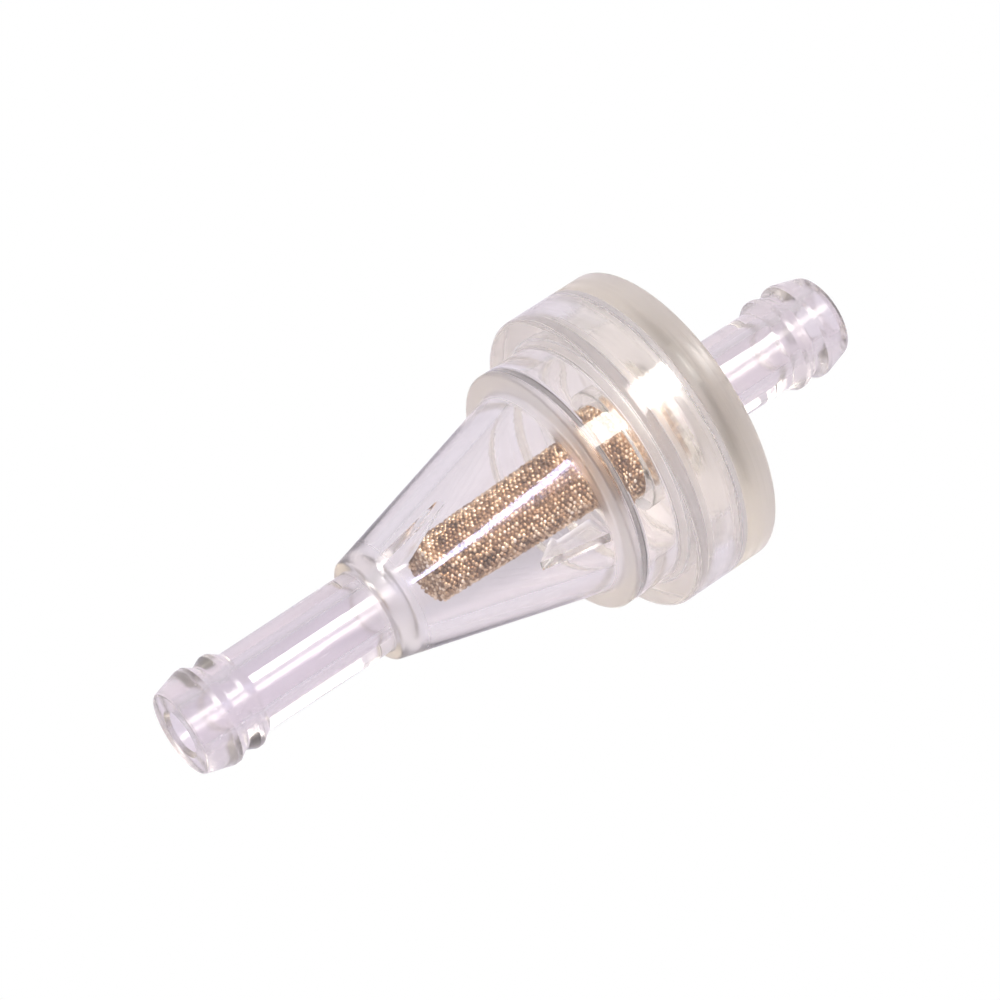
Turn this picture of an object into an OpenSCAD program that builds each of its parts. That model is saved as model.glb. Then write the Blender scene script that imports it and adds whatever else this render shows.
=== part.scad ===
// In-line fuel filter: a clear moulded housing, a clear cap welded into its collar,
// and a sintered bronze thimble between them.
// The flow runs along +X. The origin is the middle of the filter's length, on the flow axis.
// All outlines are drawn as [radius, distance from the inlet mouth] and spun about the axis.

/* [Hose nozzles] */
// Outside diameter of a nozzle stem at its root
stem_d = 6.4; // [5.6:0.1:8]
// How much thinner the stem is just behind the barbs
stem_draft = 0.1; // [0:0.05:0.3]
// Diameter of the fuel passage
bore_d = 3.2; // [2.4:0.1:4]
// Length of the inlet nozzle, from its mouth to the shoulder
inlet_l = 16.2; // [12:0.1:26]
// Length of the outlet nozzle, from the cap's face to its mouth
outlet_l = 14.5; // [11:0.1:24]
// Outside diameter at a nozzle's mouth
mouth_d = 6.4; // [5.2:0.1:7]
// Chamfer around the passage at the mouth
mouth_chamfer = 0.3; // [0.1:0.05:0.6]

/* [Hose barbs] */
// Crest diameter of the barb at the tip
tip_barb_d = 7.6; // [7:0.1:9.6]
// Crest diameter of the second barb
second_barb_d = 7.4; // [7:0.1:9.4]
// Diameter of the groove between the two barbs
valley_d = 6.6; // [5.6:0.1:6.9]
// Length of the lead-in taper at the tip
lead_in_l = 2.1; // [1.4:0.1:3.4]
// Width of the land on each crest
land_w = 0.4; // [0.3:0.05:0.8]
// Length of each of the other flanks
flank_l = 0.8; // [0.5:0.05:1.2]

/* [Housing] */
// Outside diameter of the cone's small end, at the shoulder
shoulder_d = 7.9; // [7.4:0.1:10]
// Length of the cone
cone_l = 16.4; // [12:0.1:26]
// Outside diameter of the cone's large end
cone_end_d = 16.4; // [13:0.1:18]
// Outside diameter of the chamber between the cone and the collar
chamber_d = 19.3; // [18:0.1:22]
// Length of the chamber that shows
chamber_l = 3.9; // [3:0.1:8]
// Wall of the cone and the chamber
wall = 1.5; // [1:0.1:1.8]
// Thickness of plastic behind the shoulder
shoulder_wall = 1.9; // [1.2:0.1:3]
// Rounding of the outside edges
edge_r = 0.3; // [0.1:0.05:0.5]

/* [Collar and cap] */
// Outside diameter of the collar
collar_d = 23.7; // [23:0.1:28]
// Length of the housing's share of the collar
collar_l = 4.45; // [4:0.05:8]
// Length of the cap's rim, outside the joint
rim_l = 2.8; // [2.2:0.1:5]
// Thickness of the cap's end wall
end_wall = 1.7; // [1.2:0.1:2]
// Wall of the cap's plug, which fits in the collar's socket
plug_wall = 1.8; // [1.2:0.1:2]
// How far the plug reaches into the socket
plug_l = 2.9; // [2:0.1:3.6]

/* [Bronze element] */
// Diameter of the closed end
element_tip_d = 4.8; // [4:0.1:5.4]
// Diameter where the taper meets the base
element_taper_d = 5.75; // [5.6:0.05:6.6]
// Diameter of the straight base
element_base_d = 7.7; // [7:0.1:9.2]
// Length of the straight base
element_base_l = 5.6; // [5.4:0.1:7]
// Whole length of the element
element_l = 20.4; // [16:0.1:21]
// Wall of the element
element_wall = 1.1; // [0.8:0.05:1.4]
// Rounding of the closed end
element_tip_r = 0.35; // [0.1:0.05:0.6]

/* [Element socket] */
// Wall of the socket that holds the element's base
socket_wall = 1; // [0.8:0.1:1.6]
// How far the base sits in the socket
socket_l = 3.6; // [2:0.1:4.6]
// Thickness of the seat that the base stands on
seat_l = 0.5; // [0.3:0.05:1]

/* [Moulded ribs] */
// Number of ribs around the axis, at each end of the cone
rib_count = 1; // [1:1:4]
// Turn of the first tip rib about the axis
tip_rib_turn = 165; // [0:1:359]
// Turn of the first step rib about the axis
step_rib_turn = 255; // [0:1:359]
// Thickness of a rib
rib_w = 0.5; // [0.4:0.05:1]
// How far the tip ribs reach beside the element, past its closed end
tip_rib_reach = 2.95; // [2:0.05:4]
// Length of the slope on the step ribs
step_rib_rise = 2.2; // [1.8:0.1:3.4]
// Length of the step ribs behind the slope
step_rib_l = 3; // [1.5:0.1:3.4]
// Room between the element and the step ribs' slope
step_rib_room = 1.2; // [0.3:0.05:1.5]
// Height of the notch behind the slope
step_rib_notch = 0.6; // [0.3:0.05:0.9]

/* [Clearances] */
// Radial gap between the plug and the socket in the collar
plug_gap = 0.1; // [0.05:0.05:0.2]
// Gap between the plug's end and the step behind it
plug_end_gap = 0.1; // [0.05:0.05:0.3]
// Radial gap between the element's base and its socket
seat_gap = 0.05; // [0.02:0.01:0.1]
// Gap between the element and the ribs
rib_gap = 0.15; // [0.1:0.05:0.3]

/* [Hidden] */
$fn = 96;

bore_r = bore_d / 2;
stem_r = stem_d / 2;
thin_stem_r = stem_r - stem_draft / 2;

// Stations along the axis, measured from the inlet mouth
shoulder_x = inlet_l;
cavity_x = shoulder_x + shoulder_wall;
step_x = shoulder_x + cone_l;
collar_x = step_x + chamber_l;
joint_x = collar_x + collar_l;
face_x = joint_x + rim_l;
total_l = face_x + outlet_l;
inner_face_x = face_x - end_wall;
seat_x = inner_face_x - seat_l;
element_x = seat_x - element_l;
base_x = seat_x - element_base_l;
socket_x = seat_x - socket_l;
plug_x = joint_x - plug_l;

// The cone and its cavity
cone_slope = (cone_end_d - shoulder_d) / 2 / cone_l;
cone_angle = atan(cone_slope);
cone_skin = wall / cos(cone_angle);
chamber_r = chamber_d / 2 - wall;
inner_step_x = step_x + wall;
plug_r = chamber_r + plug_wall;
socket_r = element_base_d / 2 + seat_gap;

function cone_r(x) = shoulder_d / 2 + (x - shoulder_x) * cone_slope;
function cavity_r(x) = cone_r(x) - cone_skin;
function element_r(x) = (element_tip_d + (element_taper_d - element_tip_d)
    * (x - element_x) / (base_x - element_x)) / 2;

// Turns an outline drawn as [radius, distance] into a solid along +X, centred on the length
module spun() {
    translate([-total_l / 2, 0, 0])
        rotate([0, 90, 0])
            rotate_extrude() children();
}

// The same placing for one flat rib, which stands on the axis
module ribs(turn) {
    translate([-total_l / 2, 0, 0])
        rotate([0, 90, 0])
            for (i = [0 : rib_count - 1])
                rotate([0, 0, turn + i * 360 / rib_count])
                    rotate([90, 0, 0])
                        translate([0, 0, -rib_w / 2])
                            linear_extrude(rib_w) children();
}

// Outline of a nozzle from its mouth at 0, ending at the given root distance
module nozzle_outline(root) {
    back = lead_in_l + land_w;
    valley = back + flank_l;
    second = valley + flank_l;
    stem = second + land_w + flank_l;
    polygon([
        [0, 0],
        [mouth_d / 2, 0],
        [tip_barb_d / 2, lead_in_l],
        [tip_barb_d / 2, back],
        [valley_d / 2, valley],
        [second_barb_d / 2, second],
        [second_barb_d / 2, second + land_w],
        [thin_stem_r, stem],
        [stem_r, root],
        [0, root]
    ]);
}

// Outline of the passage through a nozzle, with its chamfered mouth at 0
module passage_outline(root) {
    polygon([
        [0, -1],
        [bore_r + mouth_chamfer + 1, -1],
        [bore_r, mouth_chamfer],
        [bore_r, root],
        [0, root]
    ]);
}

// Turns a spun outline end for end, so that it starts at the outlet mouth
module spun_from_outlet() {
    rotate([0, 180, 0]) spun() children();
}

// A disc's outline from one distance to another, with its corners rounded where asked
module drum_outline(r, from, to, round_from, round_to) {
    low = round_from ? edge_r : 0;
    high = round_to ? edge_r : 0;
    polygon([
        [0, from],
        [r - low, from],
        [r, from + low],
        [r, to - high],
        [r - high, to],
        [0, to]
    ]);
    if (round_from) translate([r - edge_r, from + edge_r]) circle(edge_r);
    if (round_to) translate([r - edge_r, to - edge_r]) circle(edge_r);
}

// The cone's outline, with its edge at the shoulder rounded tangent to both faces
module cone_outline() {
    edge = shoulder_d / 2 + edge_r * cone_slope - edge_r / cos(cone_angle);
    polygon([
        [0, shoulder_x],
        [edge, shoulder_x],
        [edge + edge_r * cos(cone_angle), shoulder_x + edge_r - edge_r * sin(cone_angle)],
        [cone_end_d / 2, step_x],
        [0, step_x]
    ]);
    translate([edge, shoulder_x + edge_r]) circle(edge_r);
}

module housing_outside() {
    nozzle_outline(shoulder_x + 0.5);
    cone_outline();
    drum_outline(chamber_d / 2, step_x, collar_x + 1, true, false);
    drum_outline(collar_d / 2, collar_x, joint_x, true, false);
}

// The passage, the cone's cavity, the chamber and the socket for the cap's plug
module housing_inside() {
    passage_outline(cavity_x + 0.5);
    polygon([
        [0, cavity_x],
        [cavity_r(cavity_x), cavity_x],
        [cavity_r(inner_step_x), inner_step_x],
        [chamber_r, inner_step_x],
        [chamber_r, plug_x - plug_end_gap],
        [plug_r + plug_gap, plug_x - plug_end_gap],
        [plug_r + plug_gap, joint_x + 1],
        [0, joint_x + 1]
    ]);
}

// A rib that cradles the element's closed end: straight beside the passage, then sloping out
module tip_rib_outline() {
    end_x = element_x + tip_rib_reach;
    touch_r = element_tip_d / 2 + rib_gap;
    slope = (cavity_r(end_x) - touch_r) / (end_x - element_x);
    inner_r = bore_r + rib_gap;
    bend_x = element_x - (touch_r - inner_r) / slope;
    polygon([
        [inner_r, cavity_x - 0.5],
        [inner_r, bend_x],
        [cavity_r(end_x), end_x],
        [cavity_r(end_x) + wall / 2, end_x],
        [cavity_r(cavity_x) + wall / 2, cavity_x - 0.5]
    ]);
}

// A rib at the cone's large end: a slope up towards the element, then a ledge beside it
module step_rib_outline() {
    end_x = step_x;
    top_x = end_x - step_rib_l;
    start_x = top_x - step_rib_rise;
    reach_r = element_r(top_x) + step_rib_room;
    ledge_r = max(element_base_d / 2 + rib_gap, reach_r + step_rib_notch);
    polygon([
        [cavity_r(start_x), start_x],
        [reach_r, top_x],
        [ledge_r, top_x],
        [ledge_r, end_x],
        [cavity_r(end_x) + wall / 2, end_x],
        [cavity_r(start_x) + wall / 2, start_x]
    ]);
}

// Clear housing: inlet nozzle, cone, chamber and the longer share of the collar
module housing_body() {
    color([0.86, 0.84, 0.9, 0.5]) {
        spun() difference() {
            housing_outside();
            housing_inside();
        }
        ribs(tip_rib_turn) tip_rib_outline();
        ribs(step_rib_turn) step_rib_outline();
    }
}

// Clear cap: plug, rim, end wall, socket for the element and outlet nozzle
module outlet_cap() {
    color([0.9, 0.86, 0.82, 0.5])
        difference() {
            union() {
                spun() {
                    drum_outline(collar_d / 2, joint_x, face_x, false, true);
                    translate([0, plug_x]) square([plug_r, joint_x - plug_x + 0.5]);
                }
                spun_from_outlet() nozzle_outline(outlet_l + 0.5);
            }
            spun() {
                difference() {
                    translate([0, plug_x - 1]) square([chamber_r, inner_face_x - plug_x + 1]);
                    translate([0, socket_x]) square([socket_r + socket_wall, end_wall + socket_l + seat_l]);
                }
                translate([0, socket_x - 1]) square([socket_r, socket_l + 1]);
            }
            spun_from_outlet() passage_outline(total_l - seat_x + 1);
        }
}

// Sintered bronze thimble: closed at the inlet end, tapered, with a straight base
module bronze_element() {
    taper = (element_taper_d - element_tip_d) / 2 / (base_x - element_x);
    inner_tip_x = element_x + element_wall;
    color([0.62, 0.5, 0.36])
        spun() difference() {
            union() {
                polygon([
                    [0, element_x],
                    [element_r(element_x) - element_tip_r, element_x],
                    [element_r(element_x + element_tip_r), element_x + element_tip_r],
                    [element_taper_d / 2, base_x],
                    [element_base_d / 2, base_x],
                    [element_base_d / 2, seat_x],
                    [0, seat_x]
                ]);
                translate([element_r(element_x) - element_tip_r, element_x + element_tip_r])
                    circle(element_tip_r);
            }
            polygon([
                [0, inner_tip_x],
                [element_r(inner_tip_x) - element_wall, inner_tip_x],
                [element_r(seat_x) - element_wall, seat_x],
                [element_r(seat_x) - element_wall + taper, seat_x + 1],
                [0, seat_x + 1]
            ]);
        }
}

housing_body();
outlet_cap();
bronze_element();
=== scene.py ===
"""In-line fuel filter: a clear welded housing and cap around a sintered bronze thimble.

All lengths are in metres. The flow axis is +X, and x = 0 is the middle of the filter.
"""

import bpy
import numpy as np
from mathutils import Matrix, Vector


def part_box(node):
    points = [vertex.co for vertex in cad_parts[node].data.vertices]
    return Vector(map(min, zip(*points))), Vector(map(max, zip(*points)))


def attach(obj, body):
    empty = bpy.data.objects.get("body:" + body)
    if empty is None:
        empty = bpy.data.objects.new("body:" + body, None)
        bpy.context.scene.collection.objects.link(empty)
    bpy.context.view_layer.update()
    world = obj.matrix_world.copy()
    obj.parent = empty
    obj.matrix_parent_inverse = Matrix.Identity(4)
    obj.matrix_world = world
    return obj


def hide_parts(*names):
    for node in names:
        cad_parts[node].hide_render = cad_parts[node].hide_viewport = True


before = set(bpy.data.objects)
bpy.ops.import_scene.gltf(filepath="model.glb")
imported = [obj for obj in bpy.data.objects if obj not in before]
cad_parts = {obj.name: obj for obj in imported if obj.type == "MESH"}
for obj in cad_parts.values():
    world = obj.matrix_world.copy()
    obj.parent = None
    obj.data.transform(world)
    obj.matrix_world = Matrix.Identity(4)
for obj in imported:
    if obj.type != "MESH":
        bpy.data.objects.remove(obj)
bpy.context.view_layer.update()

MM = 0.001

# ---------------------------------------------------------------- sizes from the frame
HOUSING_LOW, HOUSING_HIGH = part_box("housing_body")
CAP_LOW, CAP_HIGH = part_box("outlet_cap")
ELEMENT_LOW, ELEMENT_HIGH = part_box("bronze_element")
INLET_X = HOUSING_LOW.x
JOINT_X = HOUSING_HIGH.x
PLUG_X = CAP_LOW.x
OUTLET_X = CAP_HIGH.x
COLLAR_R = min(HOUSING_HIGH.y, HOUSING_HIGH.z)
TIP_X = ELEMENT_LOW.x
SEAT_X = ELEMENT_HIGH.x
BASE_R = min(ELEMENT_HIGH.y, ELEMENT_HIGH.z)

# ---------------------------------------------------------------- sizes of the mouldings
BORE_R = 1.6 * MM
STEM_R = 3.2 * MM
THIN_STEM_R = 3.15 * MM
MOUTH_R = 3.2 * MM
MOUTH_CHAMFER = 0.3 * MM
TIP_BARB_R = 3.8 * MM
SECOND_BARB_R = 3.7 * MM
VALLEY_R = 3.3 * MM
LEAD_IN = 2.1 * MM
LAND = 0.4 * MM
FLANK = 0.8 * MM
INLET_LENGTH = 16.2 * MM
SHOULDER_R = 3.95 * MM
SHOULDER_WALL = 1.9 * MM
CONE_LENGTH = 16.4 * MM
CONE_END_R = 8.2 * MM
CHAMBER_R = 9.65 * MM
CHAMBER_LENGTH = 3.9 * MM
WALL = 1.5 * MM
PLUG_WALL = 1.8 * MM
PLUG_GAP = 0.1 * MM
END_WALL = 1.7 * MM
RIM_LENGTH = 2.8 * MM
SOCKET_WALL = 1.0 * MM
SOCKET_LENGTH = 3.6 * MM
SEAT_GAP = 0.05 * MM
WELD_GAP = 0.02 * MM
COLLAR_SKIN = 0.5 * MM
EDGE_BREAK = 0.05 * MM

# The two ribs inside the cone, one at its step and one at the element's tip
STEP_RIB_TURN = np.radians(75)
TIP_RIB_TURN = np.radians(345)
RIB_WIDTH = 0.5 * MM
RIB_DRAFT = 0.08 * MM
TIP_RIB_LENGTH = 6.0 * MM
STEP_RIB_RISE = 2.2 * MM
STEP_RIB_LENGTH = 3.0 * MM
STEP_RIB_ROOM = 1.2 * MM
STEP_RIB_NOTCH = 0.6 * MM
RIB_GAP = 0.15 * MM
COLUMN_STEP = np.radians(1.95)
STEP_ROWS, BETWEEN_ROWS, TIP_ROWS = 44, 10, 48

# The element
ELEMENT_TIP_R = 2.4 * MM
ELEMENT_TAPER_R = 2.875 * MM
ELEMENT_BASE_LENGTH = 5.6 * MM
ELEMENT_WALL = 1.1 * MM
CLOSED_R = 0.02 * MM

# The beads: their pitch, and as shares of it how far they stray, how deep they sink and how large they are
BEAD_PITCH = 0.37 * MM
ROW_PITCH = 0.866 * BEAD_PITCH
RING_PITCH = BEAD_PITCH * 0.9
RING_TWIST = 9000  # radians for each metre of a ring's radius
STRAY_ALONG = 0.11
STRAY_ROUND = 0.09
MOST_SUNK = 0.2
SIDE_BEADS = (0.82, 1.14)
TIP_BEADS = (0.84, 1.14)

# How matt each part of the mouldings is
WELD_FROST = 0.6
STEP_FROST = 0.5
RIB_FROST = 0.34
RIM_FROST = 0.27
BARB_FROST = 0.21
COLLAR_FROST = 0.13
POLISH = 0.05

# ---------------------------------------------------------------- stations along the axis
SHOULDER_X = INLET_X + INLET_LENGTH
CAVITY_X = SHOULDER_X + SHOULDER_WALL
STEP_X = SHOULDER_X + CONE_LENGTH
COLLAR_X = STEP_X + CHAMBER_LENGTH
FACE_X = JOINT_X + RIM_LENGTH
INNER_FACE_X = FACE_X - END_WALL
BASE_X = SEAT_X - ELEMENT_BASE_LENGTH
CONE_SLOPE = (CONE_END_R - SHOULDER_R) / CONE_LENGTH
CONE_SKIN = WALL * np.sqrt(1 + CONE_SLOPE**2)
CHAMBER_INNER_R = CHAMBER_R - WALL
PLUG_R = CHAMBER_INNER_R + PLUG_WALL
SOCKET_R = BASE_R + SEAT_GAP


def cavity_radius(x):
    """The cone's outside radius at x, less its wall measured square to the axis."""
    return SHOULDER_R + (x - SHOULDER_X) * CONE_SLOPE - CONE_SKIN


def element_radius(x):
    """The thimble's radius: it grows evenly from the closed end to the base, then jumps to the base's."""
    taper = ELEMENT_TIP_R + (ELEMENT_TAPER_R - ELEMENT_TIP_R) * (x - TIP_X) / (BASE_X - TIP_X)
    return np.where(x < BASE_X, taper, BASE_R)


# ---------------------------------------------------------------- meshes
def rounded(corners, steps=6, longest=0.6 * MM):
    """A polyline of [x, r] from corners [x, r, fillet], left open.

    Each corner is cut back by the same distance along both sides and joined by a circular arc that is
    tangent to them; long straight runs are divided evenly so that no step is longer than longest.
    """
    corners = np.asarray(corners, float)
    points = corners[:, :2]
    pieces = [points[:1]]
    for before, here, after, fillet in zip(points[:-2], points[1:-1], points[2:], corners[1:-1, 2]):
        into, out = here - before, after - here
        into, out = into / np.linalg.norm(into), out / np.linalg.norm(out)
        turn = np.arccos(np.clip(into @ out, -1, 1))
        if fillet <= 0 or turn < 1e-3:
            pieces.append(here[None])
            continue
        room = 0.45 * min(np.linalg.norm(here - before), np.linalg.norm(after - here))
        cut = min(fillet * np.tan(turn / 2), room)
        radius = cut / np.tan(turn / 2)
        inward = out - into * (into @ out)
        inward = inward / np.linalg.norm(inward)
        angle = np.linspace(0, turn, steps + 1)[:, None]
        start = here - into * cut
        pieces.append(start + radius * (into * np.sin(angle) + inward * (1 - np.cos(angle))))
    pieces.append(points[-1:])
    line = np.concatenate(pieces)
    filled = [line[:1]]
    for a, b in zip(line[:-1], line[1:]):
        count = max(1, int(np.ceil(np.linalg.norm(b - a) / longest)))
        filled.append(a + (b - a) * (np.arange(1, count + 1) / count)[:, None])
    return np.concatenate(filled)


def evenly(line, count):
    """The same polyline as count points, spaced evenly by length."""
    run = np.concatenate([[0], np.cumsum(np.linalg.norm(np.diff(line, axis=0), axis=1))])
    at = np.linspace(0, run[-1], count)
    return np.stack([np.interp(at, run, line[:, 0]), np.interp(at, run, line[:, 1])], 1)


def grid_faces(rows, columns):
    """Quads of a grid that wraps round in its rows and in its columns."""
    i, j = np.meshgrid(np.arange(rows), np.arange(columns), indexing="ij")
    i2, j2 = (i + 1) % rows, (j + 1) % columns
    quad = np.stack([i * columns + j, i * columns + j2, i2 * columns + j2, i2 * columns + j], -1)
    return quad.reshape(-1, 4)


def outwards(points, faces):
    """The faces, turned round if the volume that they enclose comes out negative."""
    a, b, c = points[faces[:, 0]], points[faces[:, 1]], points[faces[:, 2]]
    volume = np.einsum("ij,ij->i", a, np.cross(b, c)).sum()
    if faces.shape[1] == 4:
        volume += np.einsum("ij,ij->i", a, np.cross(c, points[faces[:, 3]])).sum()
    return faces if volume > 0 else faces[:, ::-1]


def mesh_piece(name, points, faces, sharp):
    """A mesh object from vertex and face arrays, smooth apart from edges sharper than sharp degrees."""
    faces = outwards(points, faces)
    mesh = bpy.data.meshes.new(name)
    mesh.vertices.add(len(points))
    mesh.vertices.foreach_set("co", np.ascontiguousarray(points, np.float32).ravel())
    sides = faces.shape[1]
    mesh.loops.add(faces.size)
    mesh.loops.foreach_set("vertex_index", np.ascontiguousarray(faces, np.int32).ravel())
    mesh.polygons.add(len(faces))
    mesh.polygons.foreach_set("loop_start", np.arange(len(faces), dtype=np.int32) * sides)
    mesh.polygons.foreach_set("use_smooth", np.ones(len(faces), bool))
    mesh.update(calc_edges=True)
    mesh.validate()
    if sharp < 180:
        mesh.set_sharp_from_angle(angle=np.radians(sharp))
    piece = bpy.data.objects.new(name, mesh)
    bpy.context.scene.collection.objects.link(piece)
    return piece


def mark(piece, name, values):
    """Keeps one number for each vertex on the piece, for its material to read."""
    attribute = piece.data.attributes.new(name, "FLOAT", "POINT")
    attribute.data.foreach_set("value", np.ascontiguousarray(values, np.float32))


def moulding(name, x, r, angle, matt, sharp):
    """A closed piece from a grid of points: each at x, at r from the flow axis and turned by angle about it.

    It is marked with how matt it is, and with where its collar is turned and where its nozzle is.
    """
    points = np.stack([x, -r * np.sin(angle), r * np.cos(angle)], -1)
    piece = mesh_piece(name, points.reshape(-1, 3), grid_faces(*x.shape), sharp)
    mark(piece, "frost", matt.ravel())
    mark(piece, "turned", (r > COLLAR_R - COLLAR_SKIN).ravel())
    mark(piece, "nozzle", on_nozzle(x).ravel())
    return piece


def lathed(name, outline, turns):
    """A closed outline of [x, r], without its repeated last point, spun about the flow axis."""
    angle = np.arange(turns) / turns * 2 * np.pi
    x, r, angle = np.broadcast_arrays(outline[:, :1], outline[:, 1:], angle)
    return moulding(name, x, r, angle, frost(x, r), 35)


def frost(x, r):
    """How matt the moulding is at x and r: polished outside, satin on the steps, matt where it is welded."""
    weld = (np.abs(x - JOINT_X) < 0.1 * MM) & (r > PLUG_R - 0.3 * MM)
    plug = (r < PLUG_R + 0.2 * MM) & (r > CHAMBER_INNER_R - 0.2 * MM)
    weld |= (np.abs(x - PLUG_X) < 0.3 * MM) & plug
    face = (x > FACE_X - 0.3 * MM) & (x < FACE_X + 0.2 * MM) & (r > STEM_R)
    face |= (np.abs(x - INNER_FACE_X) < 0.3 * MM) & (r > SOCKET_R + SOCKET_WALL)
    step = (np.abs(x - STEP_X) < 0.55 * MM) & (r > CONE_END_R - 0.1 * MM)
    under = (r > CONE_END_R - WALL) & (r < CHAMBER_INNER_R - 0.2 * MM)
    step |= (np.abs(x - STEP_X - WALL) < 0.1 * MM) & under
    collar = (np.abs(x - COLLAR_X) < 0.4 * MM) & (r > CHAMBER_R - 0.1 * MM)
    root = (x > SHOULDER_X - 0.3 * MM) & (x < CAVITY_X + 0.4 * MM)
    rim = (x > JOINT_X) & (r > COLLAR_R - 0.2 * MM)
    barbs = (x < INLET_X + 5 * MM) | (x > OUTLET_X - 5 * MM)
    bore = r < BORE_R + 0.1 * MM
    return np.select([weld, face | step, rim | root, collar, barbs | bore],
                     [WELD_FROST, STEP_FROST, RIM_FROST, COLLAR_FROST, BARB_FROST], POLISH)


def on_nozzle(x):
    """1 along the two nozzles and 0 between them."""
    return (x < SHOULDER_X - 0.1 * MM) | (x > FACE_X + 0.1 * MM)


def nozzle_corners(mouth_x, way, root):
    """Outside corners of a nozzle, from its mouth inwards; way is +1 where its root is at greater x."""
    steps = [
        (0, MOUTH_R, 0.22), (LEAD_IN, TIP_BARB_R, 0.12), (LAND, TIP_BARB_R, 0.12),
        (FLANK, VALLEY_R, 0.25), (FLANK, SECOND_BARB_R, 0.2), (LAND, SECOND_BARB_R, 0.2),
        (FLANK, THIN_STEM_R, 0.3),
    ]
    along = np.cumsum([length for length, _, _ in steps])
    corners = [(mouth_x + way * a, r, fillet * MM) for a, (_, r, fillet) in zip(along, steps)]
    return corners + [(root, STEM_R, 0.12 * MM)]


def housing():
    """The clear housing: outside, collar socket and cavity in one closed grid, with two ribs raised in it.

    The grid's rows follow the outline and its columns go round the axis. Where a column stands on a rib, its
    points leave the cavity's wall for the rib's own outline, so that a rib's side is the strip between the
    two outlines, and its columns keep half the rib's width from the middle plane at every radius.
    """
    outside = rounded([
        (INLET_X, BORE_R + MOUTH_CHAMFER, 0),
        *nozzle_corners(INLET_X, 1, SHOULDER_X),
        (SHOULDER_X, SHOULDER_R, 0.3 * MM),
        (STEP_X, CONE_END_R, 0.25 * MM),
        (STEP_X, CHAMBER_R, 0.2 * MM),
        (COLLAR_X, CHAMBER_R, 0.25 * MM),
        (COLLAR_X, COLLAR_R, 0.35 * MM),
        (JOINT_X, COLLAR_R, 0.06 * MM),
        (JOINT_X, PLUG_R + PLUG_GAP, 0.06 * MM),
        (PLUG_X - PLUG_GAP, PLUG_R + PLUG_GAP, 0.15 * MM),
        (PLUG_X - PLUG_GAP, CHAMBER_INNER_R, 0.1 * MM),
        (STEP_X + WALL, CHAMBER_INNER_R, 0.3 * MM),
        (STEP_X + WALL, cavity_radius(STEP_X + WALL), 0.2 * MM),
        (STEP_X, cavity_radius(STEP_X), 0),
    ])
    tip_end, top = CAVITY_X + TIP_RIB_LENGTH, STEP_X - STEP_RIB_LENGTH
    step_start = top - STEP_RIB_RISE
    touch = ELEMENT_TIP_R + RIB_GAP
    slope = (cavity_radius(tip_end) - touch) / (tip_end - TIP_X)
    inner = BORE_R + RIB_GAP
    bend = TIP_X - (touch - inner) / slope
    reach = float(element_radius(top)) + STEP_RIB_ROOM
    ledge = max(BASE_R + RIB_GAP, reach + STEP_RIB_NOTCH)
    wall_step = np.array([(STEP_X, cavity_radius(STEP_X)), (step_start, cavity_radius(step_start))])
    rib_step = rounded([
        (STEP_X, cavity_radius(STEP_X), 0), (STEP_X, ledge, 0.1 * MM), (top, ledge, 0.1 * MM),
        (top, reach, 0.1 * MM), (step_start, cavity_radius(step_start), 0)])
    between = np.array([(step_start, cavity_radius(step_start)), (tip_end, cavity_radius(tip_end))])
    wall_tip = rounded([
        (tip_end, cavity_radius(tip_end), 0), (CAVITY_X, cavity_radius(CAVITY_X), 0.45 * MM),
        (CAVITY_X, BORE_R + EDGE_BREAK, 0)])
    rib_tip = rounded([
        (tip_end, cavity_radius(tip_end), 0), (bend, inner, 0.2 * MM),
        (CAVITY_X, inner, EDGE_BREAK), (CAVITY_X, BORE_R + EDGE_BREAK, 0)])
    passage = rounded([
        (CAVITY_X, BORE_R + EDGE_BREAK, 0), (CAVITY_X, BORE_R, EDGE_BREAK),
        (INLET_X + MOUTH_CHAMFER, BORE_R, EDGE_BREAK), (INLET_X, BORE_R + MOUTH_CHAMFER, 0)])
    middle_rows = evenly(between, BETWEEN_ROWS)
    plain = [outside, evenly(wall_step, STEP_ROWS), middle_rows, evenly(wall_tip, TIP_ROWS), passage]
    raised = [outside, evenly(rib_step, STEP_ROWS), middle_rows, evenly(rib_tip, TIP_ROWS), passage]
    wall = np.concatenate([line[:-1] for line in plain])
    rise = np.concatenate([line[:-1] for line in raised])
    # Which rib each row belongs to: 0 for the step's, 1 for the tip's, -1 for neither
    row_rib = np.repeat([-1, 0, -1, 1, -1], [len(line) - 1 for line in plain])

    half = RIB_WIDTH / 2
    # Each rib's columns: how far they stand from its middle plane, and how much of its height they have
    aside = np.array([-half - RIB_DRAFT, -half, -half + RIB_DRAFT, half - RIB_DRAFT, half, half + RIB_DRAFT])
    share = [0, 0.97, 1, 1, 0.97, 0]
    turns = [STEP_RIB_TURN, TIP_RIB_TURN]
    columns = []
    for rib, turn in enumerate(turns):
        gap = (turns[rib - 1] - turn) % (2 * np.pi)
        spare = int(gap / COLUMN_STEP)
        columns += [(turn, a, s, 0.0, rib, gap) for a, s in zip(aside, share)]
        columns += [(turn, aside[-1], 0, (n + 1) / (spare + 1), rib, gap) for n in range(spare)]
    middle, offset, height, onward, column_rib, gap = np.array(columns).T
    height = height * (row_rib[:, None] == column_rib)
    line = wall[:, None] + (rise - wall)[:, None] * height[..., None]
    x, r = line[..., 0], line[..., 1]
    lean = np.arcsin(np.clip(offset / r, -1, 1))
    next_lean = gap + np.arcsin(np.clip(aside[0] / r, -1, 1))
    angle = middle + lean + onward * (next_lean - lean)
    return moulding("housing_shell", x, r, angle, np.where(height > 0, RIB_FROST, frost(x, r)), 40)


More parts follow.
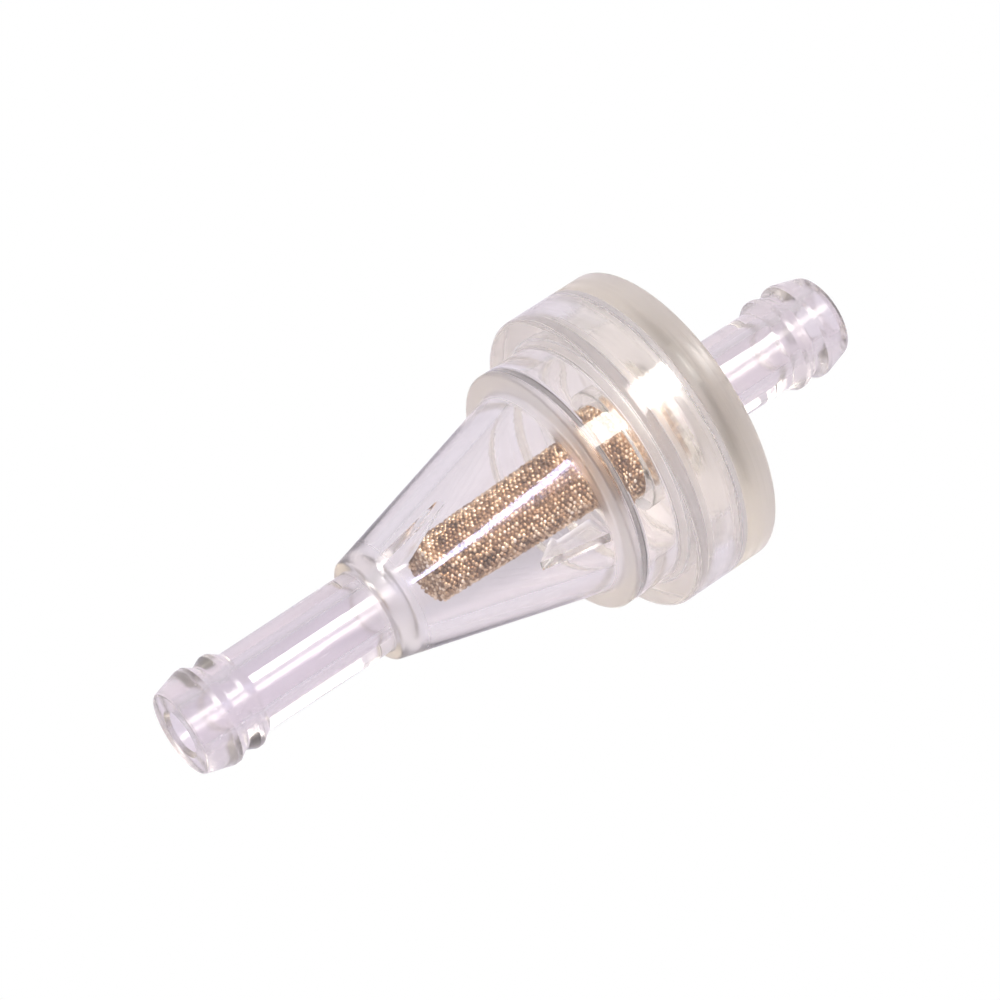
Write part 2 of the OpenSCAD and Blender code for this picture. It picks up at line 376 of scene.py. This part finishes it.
def cap():
    """The clear cap: rim, end wall, outlet nozzle, passage, element socket and plug in one closed grid."""
    socket_x = SEAT_X - SOCKET_LENGTH
    face = JOINT_X + WELD_GAP
    start_r = PLUG_R + 0.5 * (COLLAR_R - PLUG_R)
    outline = rounded([
        (face, start_r, 0),
        (face, COLLAR_R, 0.06 * MM),
        (FACE_X, COLLAR_R, 0.35 * MM),
        (FACE_X, STEM_R, 0.2 * MM),
        *nozzle_corners(OUTLET_X, -1, FACE_X)[-2::-1],
        (OUTLET_X, BORE_R + MOUTH_CHAMFER, 0.03 * MM),
        (OUTLET_X - MOUTH_CHAMFER, BORE_R, EDGE_BREAK),
        (SEAT_X, BORE_R, EDGE_BREAK),
        (SEAT_X, SOCKET_R, EDGE_BREAK),
        (socket_x, SOCKET_R, 0.12 * MM),
        (socket_x, SOCKET_R + SOCKET_WALL, 0.15 * MM),
        (INNER_FACE_X, SOCKET_R + SOCKET_WALL, 0.25 * MM),
        (INNER_FACE_X, CHAMBER_INNER_R, 0.4 * MM),
        (PLUG_X, CHAMBER_INNER_R, 0.15 * MM),
        (PLUG_X, PLUG_R, 0.2 * MM),
        (face, PLUG_R, 0.1 * MM),
        (face, start_r, 0),
    ])[:-1]
    return lathed("cap_shell", outline[::-1], 224)


def thimble_wall():
    """The fused bronze behind the beads: closed at the inlet end, hollow, open at the seat.

    Both skins of its closed end stop at CLOSED_R from the axis, where a fine tube joins them.
    """
    sunk = 0.5 * BEAD_PITCH
    inner_tip = TIP_X + ELEMENT_WALL
    outline = rounded([
        (TIP_X + sunk, CLOSED_R, 0),
        (TIP_X + sunk, ELEMENT_TIP_R - sunk, 0.3 * MM),
        (BASE_X, ELEMENT_TAPER_R - sunk, 0),
        (BASE_X, BASE_R - sunk, 0.1 * MM),
        (SEAT_X, BASE_R - sunk, EDGE_BREAK),
        (SEAT_X, ELEMENT_TAPER_R - ELEMENT_WALL, EDGE_BREAK),
        (inner_tip, ELEMENT_TIP_R - ELEMENT_WALL, 0.3 * MM),
        (inner_tip, CLOSED_R, 0),
    ])
    return lathed("bronze_wall", outline[::-1], 96)


def ball():
    """A unit ball of 80 triangles: an icosahedron whose faces are each split in four."""
    golden = (1 + 5**0.5) / 2
    points = [(-1, golden, 0), (1, golden, 0), (-1, -golden, 0), (1, -golden, 0)]
    points += [(c, a, b) for a, b, c in points] + [(b, c, a) for a, b, c in points]
    points = np.array(points, float)
    points /= np.linalg.norm(points[0])
    gaps = np.linalg.norm(points[:, None] - points[None], axis=2)
    near = (gaps > 1e-6) & (gaps < 1.1)
    faces = [(i, j, k) for i in range(12) for j in range(i + 1, 12) for k in range(j + 1, 12)
             if near[i, j] and near[j, k] and near[i, k]]
    faces = np.array(faces)
    a, b, c = (points[faces[:, n]] for n in range(3))
    inside = np.einsum("ij,ij->i", np.cross(b - a, c - a), points[faces].mean(1)) < 0
    faces[inside] = faces[inside][:, ::-1]
    a, b, c = (points[faces[:, n]] for n in range(3))
    corners = np.stack([a, b, c, (a + b), (b + c), (c + a)], 1)
    corners /= np.linalg.norm(corners, axis=2, keepdims=True)
    flat = corners.reshape(-1, 3)
    _, first, back = np.unique(np.round(flat, 6), axis=0, return_index=True, return_inverse=True)
    index = back.reshape(-1, 6)
    quarters = ([0, 3, 5], [3, 1, 4], [5, 4, 2], [3, 4, 5])
    return flat[first], np.concatenate([index[:, corner] for corner in quarters])


def bead_piece(name, centres, sizes, tones):
    """One mesh of separate beads: the same ball at each centre, scaled to each size, with a tone for each."""
    points, faces = ball()
    all_points = centres[:, None] + points[None] * sizes[:, None, None]
    all_faces = faces[None] + (np.arange(len(centres)) * len(points))[:, None, None]
    piece = mesh_piece(name, all_points.reshape(-1, 3), all_faces.reshape(-1, 3), 180)
    mark(piece, "bead_tone", np.repeat(tones, len(points)))
    return piece


def packed_rows(start, end, seed):
    """Bead centres, sizes and tones over a stretch of the thimble.

    Rows of beads a pitch apart run along it, sqrt(3)/2 of a pitch from row to row at mid-stretch, and every
    second row is moved on by half a pitch; then every bead is moved, sunk and sized a little at random.
    """
    rng = np.random.default_rng(seed)
    middle_r = float(element_radius(0.5 * (start + end))) - BEAD_PITCH * 0.5
    rows = 2 * int(round(np.pi * middle_r / ROW_PITCH))
    count = int((end - start) / BEAD_PITCH)
    along, row = np.meshgrid(np.arange(count), np.arange(rows), indexing="ij")
    along, row = along.ravel(), row.ravel()
    x = start + (along + 0.25 + 0.5 * (row % 2)) * (end - start) / count
    x = x + rng.normal(0, STRAY_ALONG, len(x)) * BEAD_PITCH
    size = BEAD_PITCH * 0.5 * rng.uniform(*SIDE_BEADS, len(x))
    x = np.clip(x, TIP_X + size, SEAT_X - size)
    sunk = rng.uniform(0, MOST_SUNK, len(x)) * BEAD_PITCH
    radius = element_radius(np.clip(x, start, end - 0.01 * MM)) - size - sunk
    angle = row / rows * 2 * np.pi + rng.normal(0, STRAY_ROUND, len(x)) * BEAD_PITCH / radius
    centres = np.stack([x, -radius * np.sin(angle), radius * np.cos(angle)], 1)
    return centres, size, rng.uniform(0, 1, len(x))


def packed_tip(seed):
    """Bead centres, sizes and tones over the closed end: rings nearly a pitch apart, from the middle out."""
    rng = np.random.default_rng(seed)
    y, z = [0.0], [0.0]
    for ring in np.arange(RING_PITCH, ELEMENT_TIP_R - BEAD_PITCH * 0.5, RING_PITCH):
        count = int(2 * np.pi * ring / BEAD_PITCH)
        turn = np.arange(count) / count * 2 * np.pi + ring * RING_TWIST
        y += list(-ring * np.sin(turn))
        z += list(ring * np.cos(turn))
    size = BEAD_PITCH * 0.5 * rng.uniform(*TIP_BEADS, len(y))
    x = TIP_X + size + rng.uniform(0, MOST_SUNK, len(y)) * BEAD_PITCH
    return np.stack([x, y, z], 1), size, rng.uniform(0, 1, len(y))


# ---------------------------------------------------------------- materials
class Value:
    """A number in a material. Using it in an expression adds the Math node that works it out."""

    def __init__(self, finish, socket):
        self.finish = finish
        self.socket = socket

    def _maths(self, operation, first, second):
        return self.finish.add("ShaderNodeMath", {"operation": operation}, {0: first, 1: second})[0]

    def __add__(self, other):
        return self._maths("ADD", self, other)

    def __sub__(self, other):
        return self._maths("SUBTRACT", self, other)

    def __mul__(self, other):
        return self._maths("MULTIPLY", self, other)

    def __rsub__(self, other):
        return self._maths("SUBTRACT", other, self)

    __radd__ = __add__
    __rmul__ = __mul__


class Finish:
    """One material, built node by node, with a Principled shader as its surface."""

    def __init__(self, name):
        self.material = bpy.data.materials.new(name)
        self.material.use_nodes = True
        self.tree = self.material.node_tree
        self.tree.nodes.clear()
        self.out = self.tree.nodes.new("ShaderNodeOutputMaterial")
        self.surface = self.tree.nodes.new("ShaderNodeBsdfPrincipled")
        self.tree.links.new(self.surface.outputs[0], self.out.inputs["Surface"])

    def fill(self, node, inputs):
        """Sets a node's sockets, by name or number, to values or to links from Values."""
        for key, value in inputs.items():
            socket = node.inputs[key]
            if isinstance(value, Value):
                self.tree.links.new(value.socket, socket)
            else:
                socket.default_value = value

    def add(self, kind, settings=None, inputs=None):
        """A node of this type. Its settings come first, with a ramp's stops as (place, colour) pairs."""
        node = self.tree.nodes.new(kind)
        for key, value in (settings or {}).items():
            if key == "stops":
                ramp = node.color_ramp.elements
                for n, (place, colour) in enumerate(value):
                    stop = ramp[n] if n < len(ramp) else ramp.new(place)
                    stop.position = place
                    stop.color = colour
            else:
                setattr(node, key, value)
        self.fill(node, inputs or {})
        return [Value(self, socket) for socket in node.outputs]

    def place(self, scale=(1, 1, 1)):
        """Object coordinates, stretched by scale."""
        whole = self.add("ShaderNodeTexCoord")[3]
        return self.add("ShaderNodeMapping", None, {"Vector": whole, "Scale": scale})[0]

    def noise(self, where, size, detail):
        """Cloudy noise whose blotches are about size metres across."""
        inputs = {"Vector": where, "Scale": 1 / size, "Detail": detail, "Roughness": 0.5}
        return self.add("ShaderNodeTexNoise", None, inputs)[0]

    def marked(self, name):
        """The number that the piece's vertices are marked with under this name."""
        return self.add("ShaderNodeAttribute", {"attribute_name": name})[2]

    def ramp(self, value, stops):
        """A colour for each value, from (place, colour) stops."""
        return self.add("ShaderNodeValToRGB", {"stops": stops}, {"Fac": value})[0]

    def bump(self, height, depth, strength):
        """A normal from a height, where a height of 1 stands depth metres proud."""
        inputs = {"Height": height, "Distance": depth, "Strength": strength}
        return self.add("ShaderNodeBump", None, inputs)[0]

    def mixed(self, where, other):
        """Shows the other shader instead of the surface wherever the value is 1."""
        both = self.add("ShaderNodeMixShader", None, {0: where, 2: other})[0]
        self.tree.links.new(self.surface.outputs[0], both.socket.node.inputs[1])
        self.tree.links.new(both.socket, self.out.inputs["Surface"])

    def lets_lamps_through(self, colour):
        """Shadow rays pass the surface with this tint, as light passes clear plastic, and don't stop."""
        shadow = self.add("ShaderNodeLightPath")[1]
        clear = self.add("ShaderNodeBsdfTransparent", None, {"Color": colour})[0]
        self.mixed(shadow, clear)


# The nozzles' colour stops: painted shade, making the nozzles a little darker than the rest of the plastic
NOZZLE_SHADE = (0.905, 0.885, 0.915)
DEEP_NOZZLE_SHADE = (0.88, 0.85, 0.88, 1)
BRONZE_TONES = [
    (0.0, (0.1, 0.055, 0.03, 1)),
    (0.3, (0.36, 0.22, 0.125, 1)),
    (0.55, (0.66, 0.46, 0.28, 1)),
    (0.8, (0.94, 0.77, 0.57, 1)),
    (1.0, (1.0, 0.95, 0.86, 1)),
]


def clear_plastic(name, tint, clear, depth_tint, depth, shadow):
    """Clear moulded plastic: polished or frosted as moulded, with faint flow clouds and hairline scuffs.

    Its own colour is nearly none, and the plastic yellows as the light's way through it grows. Along the
    nozzles the colour is painted a little deeper: painted shade that dims them.
    """
    finish = Finish(name)
    everywhere = finish.place()
    clouds = finish.noise(everywhere, 5 * MM, 2.0)
    hairs = finish.noise(finish.place((0.05, 1, 1)), 0.2 * MM, 2.0)
    rings = finish.noise(finish.place((1, 0.02, 0.02)), 0.3 * MM, 3.0)
    turned = finish.marked("turned")
    scuffs = finish.ramp(hairs, [(0.66, (0, 0, 0, 1)), (0.76, (1, 1, 1, 1))])
    matt = finish.marked("frost")
    stem = finish.marked("nozzle")
    pale, deep = (*tint, 1), (*[c * 0.985 for c in tint], 1)
    pale_nozzle_shade = (*[c * s for c, s in zip(tint, NOZZLE_SHADE)], 1)
    # The clouds move the colour along the ramp's low end, and along its high end on the nozzles, whose deeper
    # stops are painted shade
    finish.fill(finish.surface, {
        "Base Color": finish.ramp(clouds * 0.3 + stem * 0.65,
                                  [(0.1, pale), (0.22, deep), (0.75, pale_nozzle_shade), (0.87, DEEP_NOZZLE_SHADE)]),
        "Roughness": matt + clouds * 0.02 + scuffs * 0.08,
        "Normal": finish.bump(clouds + hairs * 0.1 + rings * turned * 3, 0.02 * MM, 0.5),
        "Transmission Weight": clear,
        "IOR": 1.45,
    })
    inside = finish.add("ShaderNodeVolumeAbsorption", None, {"Color": (*depth_tint, 1), "Density": depth})[0]
    finish.tree.links.new(inside.socket, finish.out.inputs["Volume"])
    finish.lets_lamps_through(shadow)
    return finish.material


def sintered_bronze(name, crust):
    """Fused bronze powder: beads brown to gold by their tone, dull and painted dark in the pits as painted
    shade, bright on the crowns.
    """
    finish = Finish(name)
    everywhere = finish.place()
    grime = finish.noise(everywhere, 1.4 * MM, 3.0)
    grain = finish.noise(everywhere, 0.05 * MM, 2.0)
    tone = finish.marked("bead_tone")
    # The wall in the pits has no bead_tone, so this gives it the ramp's dark end: painted shade between the
    # beads
    shade = tone * 0.65 + grime * 0.7 - 0.18
    finish.fill(finish.surface, {
        "Base Color": finish.ramp(shade, BRONZE_TONES),
        "Metallic": 0.95,
        "Roughness": 0.27 - tone * 0.1 + grain * 0.08 if crust else 0.6 + grain * 0.1,
        "Normal": finish.bump(grain, 0.01 * MM, 0.6),
    })
    return finish.material


def pale_floor():
    """A pale sheet: plain white where it is seen beside the filter, pale lavender through the plastic."""
    finish = Finish("floor_sheet")
    finish.fill(finish.surface, {"Base Color": (0.27, 0.255, 0.285, 1), "Roughness": 0.9,
                                 "Emission Color": (0.95, 0.9, 1, 1), "Emission Strength": 0.43})
    seen = finish.add("ShaderNodeLightPath")[0]
    white = finish.add("ShaderNodeEmission", None, {"Color": (1, 1, 1, 1), "Strength": 1.0})[0]
    finish.mixed(seen, white)
    return finish.material


# ---------------------------------------------------------------- assembly
def keep(piece, material, node):
    """Gives a piece its material, fixes it to the filter and hides the CAD node that it stands for."""
    piece.data.materials.append(material)
    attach(piece, "root")
    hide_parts(node)


def build_filter():
    """The six pieces of the filter, each with its material."""
    housing_plastic = clear_plastic(
        "clear_housing_plastic", tint=(0.985, 0.98, 0.98), clear=0.98,
        depth_tint=(0.62, 0.45, 0.0), depth=20.0, shadow=(0.94, 0.93, 0.94, 1))
    cap_plastic = clear_plastic(
        "clear_cap_plastic", tint=(0.985, 0.974, 0.95), clear=0.97,
        depth_tint=(0.66, 0.52, 0.0), depth=19.0, shadow=(0.94, 0.93, 0.93, 1))
    keep(housing(), housing_plastic, "housing_body")
    keep(cap(), cap_plastic, "outlet_cap")
    # The wall behind the beads takes the bronze ramp's dark end: painted shade in the pits
    pits = sintered_bronze("bronze_pits", crust=False)
    keep(thimble_wall(), pits, "bronze_element")
    crowns = sintered_bronze("bronze_crowns", crust=True)
    taper = packed_rows(TIP_X + 0.4 * BEAD_PITCH, BASE_X, seed=11)
    keep(bead_piece("beads_taper", *taper), crowns, "bronze_element")
    base = packed_rows(BASE_X, SEAT_X, seed=12)
    keep(bead_piece("beads_base", *base), crowns, "bronze_element")
    keep(bead_piece("beads_tip", *packed_tip(seed=13)), crowns, "bronze_element")


# ---------------------------------------------------------------- camera, floor and light
CAMERA_AT = Vector((-109.5, -142.98, 232.74)) * MM
CAMERA_TO = Vector((0.364, 1.754, 0)) * MM
CAMERA_ROLL = np.radians(-2.2)
CAMERA_LENS = 149.5
FLOOR_SIDE = 3.0
FLOOR_GAP = 0.05 * MM
PANEL_DISTANCE = 0.5
ROOM_COLOUR = (0.95, 0.91, 1.0, 1)
ROOM_BRIGHTNESS = 0.78


def add_camera():
    """A long lens on the inlet's side, looking down at the filter from about 50 degrees."""
    camera = bpy.data.objects.new("camera", bpy.data.cameras.new("camera"))
    bpy.context.scene.collection.objects.link(camera)
    back = (CAMERA_AT - CAMERA_TO).normalized()
    level = Vector((0, 0, 1)).cross(back).normalized()
    right = level * float(np.cos(CAMERA_ROLL)) + back.cross(level) * float(np.sin(CAMERA_ROLL))
    turn = Matrix((right, back.cross(right), back)).transposed()
    camera.matrix_world = Matrix.Translation(CAMERA_AT) @ turn.to_4x4()
    camera.data.lens = CAMERA_LENS
    camera.data.clip_start = 0.001
    bpy.context.scene.camera = camera


def add_floor():
    """A level square sheet just under the collar, reaching far past the filter on every side."""
    mesh = bpy.data.meshes.new("floor")
    z = -COLLAR_R - FLOOR_GAP
    corners = [(x * FLOOR_SIDE, y * FLOOR_SIDE, z) for x, y in ((-1, -1), (1, -1), (1, 1), (-1, 1))]
    mesh.from_pydata(corners, [], [(0, 1, 2, 3)])
    floor = bpy.data.objects.new("floor", mesh)
    bpy.context.scene.collection.objects.link(floor)
    mesh.materials.append(pale_floor())


def add_panel(name, direction, along, length, breadth, brightness, colour):
    """A soft rectangular lamp off in this direction, facing the filter, with its length laid along."""
    lamp = bpy.data.lights.new(name, "AREA")
    lamp.shape = "RECTANGLE"
    lamp.size, lamp.size_y = length, breadth
    lamp.energy = brightness * np.pi * length * breadth
    lamp.color = colour
    holder = bpy.data.objects.new(name, lamp)
    bpy.context.scene.collection.objects.link(holder)
    back = Vector(direction).normalized()
    across = (Vector(along) - back * back.dot(Vector(along))).normalized()
    turn = Matrix((across, back.cross(across), back)).transposed()
    holder.matrix_world = Matrix.Translation(back * PANEL_DISTANCE) @ turn.to_4x4()


def add_light():
    """An even pale room, a broad warm lamp over the collar and a narrow bluish one along the cone."""
    world = bpy.data.worlds.new("studio")
    world.use_nodes = True
    room = world.node_tree.nodes["Background"]
    room.inputs["Color"].default_value = ROOM_COLOUR
    room.inputs["Strength"].default_value = ROOM_BRIGHTNESS
    bpy.context.scene.world = world
    add_panel("softbox", direction=(0.342, -0.190, 0.920), along=(1, 0.3, 0),
              length=0.20, breadth=0.165, brightness=19, colour=(1, 0.97, 0.93))
    add_panel("strip", direction=(-0.131, -0.40, 0.907), along=(0.27, 0.83, 0.36),
              length=0.18, breadth=0.017, brightness=30, colour=(0.6, 0.64, 1))


def set_up_render():
    """Plain colours, and enough bounces for light to get in and out through every wall of clear plastic."""
    scene = bpy.context.scene
    scene.view_settings.view_transform = "Standard"
    scene.cycles.max_bounces = 24
    scene.cycles.transmission_bounces = 24
    scene.cycles.transparent_max_bounces = 16
    scene.cycles.caustics_refractive = True
    scene.cycles.use_denoising = True


add_camera()
build_filter()
add_floor()
add_light()
set_up_render()
